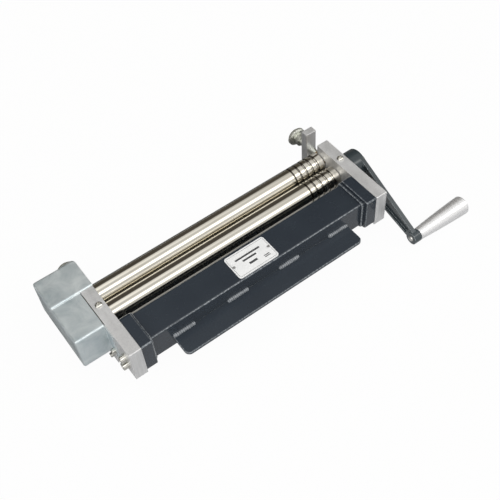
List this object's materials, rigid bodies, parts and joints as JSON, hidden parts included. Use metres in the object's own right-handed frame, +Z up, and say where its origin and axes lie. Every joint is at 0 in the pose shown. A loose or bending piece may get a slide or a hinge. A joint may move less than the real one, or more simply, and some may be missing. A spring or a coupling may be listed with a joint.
{
  "type": "slip roll machine",
  "caption": "Hand-cranked bench slip roll: two geared pinch rolls side by side and a forming roll below, between steel end plates, with a gear cover and a clamping shelf.",
  "frame": {"origin": "middle of the tie bar's underside, level with the undersides of both end plates, on the bench", "axes": "+X along the rolls towards the crank, +Y towards the back (the adjusting knobs), +Z up"},
  "size_m": [0.4559, 0.1943, 0.077],
  "materials": {
    "body_paint": "glossy dark slate-blue paint",
    "crank_paint": "glossy dark green-black paint on a casting",
    "label": "white coated aluminium plate",
    "rivet": "plain aluminium",
    "ground_steel": "ground and lightly brushed",
    "tie_steel": "drawn steel bar",
    "roll_nickel": "polished, warm nickel tone",
    "gear_steel": "machined steel",
    "spring_steel": "blackened spring steel",
    "bronze": "machined bearing bronze",
    "zinc_sheet": "zinc-plated sheet",
    "screw": "nickel-plated",
    "knob_nickel": "nickel-plated, dull",
    "spindle_steel": "plain steel",
    "handle_aluminium": "satin turned aluminium"
  },
  "bodies": {
    "base": {"base_beam": "body_paint", "end_flange_left": "body_paint", "end_flange_right": "body_paint", "flange_welds": "body_paint", "clamp_shelf": "body_paint", "shelf_welds": "body_paint", "label_plate": "label", "label_rivets": "rivet", "end_plate_left": "ground_steel", "end_plate_right": "ground_steel", "tie_bar": "tie_steel", "tie_bar_screws": "screw", "plate_screws": "screw", "plate_washers": "screw", "front_bush_left": "bronze", "front_bush_right": "bronze", "bush_lock_screws": "screw", "gear_cover": "zinc_sheet", "cover_screw": "screw"},
    "crank": {"front_roll": "roll_nickel", "front_gear": "gear_steel", "front_gear_key": "gear_steel", "front_gear_ring": "spring_steel", "front_thrust_washer": "bronze", "crank_arm": "crank_paint", "crank_key": "gear_steel", "crank_spacer": "screw", "crank_washer": "screw", "crank_end_screw": "screw", "handle_spindle": "spindle_steel"},
    "handle": {"handle_grip": "handle_aluminium"},
    "rear_carriage": {"rear_block_left": "bronze", "rear_block_right": "bronze"},
    "rear_roll": {"rear_roll": "roll_nickel", "rear_gear": "gear_steel", "rear_gear_key": "gear_steel", "rear_gear_ring": "spring_steel", "rear_thrust_washer": "bronze", "rear_end_ring": "spring_steel"},
    "knob_left": {"adjusting_knob_left": "knob_nickel"},
    "knob_right": {"adjusting_knob_right": "knob_nickel"},
    "forming_carriage": {"forming_block_left": "bronze", "forming_block_right": "bronze"},
    "forming_roll": {"forming_roll": "roll_nickel", "forming_rings": "spring_steel"},
    "forming_screw_left": {"forming_screw_left": "screw"},
    "forming_screw_right": {"forming_screw_right": "screw"}
  },
  "joints": [
    {"name": "crank_turn", "type": "hinge", "parent": "base", "child": "crank", "pos_m": [0, 0.0044, 0.0505], "axis": [1, 0, 0], "continuous": true},
    {"name": "handle_spin", "type": "hinge", "parent": "crank", "child": "handle", "pos_m": [0.188, -0.09666, 0.0124], "axis": [1, 0, 0], "continuous": true},
    {"name": "rear_slide", "type": "slide", "parent": "base", "child": "rear_carriage", "axis": [0, -1, 0], "range_m": [0, 0.0019]},
    {"name": "rear_knob_right_turn", "type": "hinge", "parent": "rear_carriage", "child": "knob_right", "pos_m": [0.157, 0.0414, 0.048], "axis": [0, -1, 0], "range_deg": [0, 547.3]},
    {"name": "rear_knob_left_turn", "type": "hinge", "parent": "rear_carriage", "child": "knob_left", "pos_m": [-0.157, 0.0414, 0.048], "axis": [0, -1, 0], "range_deg": [0, 547.3]},
    {"name": "rear_roll_turn", "type": "hinge", "parent": "rear_carriage", "child": "rear_roll", "pos_m": [0, 0.0324, 0.0505], "axis": [1, 0, 0], "continuous": true},
    {"name": "forming_slide", "type": "slide", "parent": "base", "child": "forming_carriage", "axis": [0, 1, 0], "range_m": [0, 0.009]},
    {"name": "forming_screw_right_turn", "type": "hinge", "parent": "forming_carriage", "child": "forming_screw_right", "pos_m": [0.157, -0.004, 0.0205], "axis": [0, 1, 0], "range_deg": [0, 2592.1]},
    {"name": "forming_screw_left_turn", "type": "hinge", "parent": "forming_carriage", "child": "forming_screw_left", "pos_m": [-0.157, -0.004, 0.0205], "axis": [0, 1, 0], "range_deg": [0, 2592.1]},
    {"name": "forming_roll_turn", "type": "hinge", "parent": "forming_carriage", "child": "forming_roll", "pos_m": [0, 0.005, 0.0205], "axis": [1, 0, 0], "continuous": true}
  ],
  "couplings": [
    {"joint": "rear_roll_turn", "follows": "crank_turn", "ratio": -1},
    {"joint": "rear_knob_right_turn", "follows": "rear_slide", "rad_per_m": 5026.5},
    {"joint": "rear_knob_left_turn", "follows": "rear_slide", "rad_per_m": 5026.5},
    {"joint": "forming_screw_right_turn", "follows": "forming_slide", "rad_per_m": 5026.5},
    {"joint": "forming_screw_left_turn", "follows": "forming_slide", "rad_per_m": 5026.5}
  ]
}
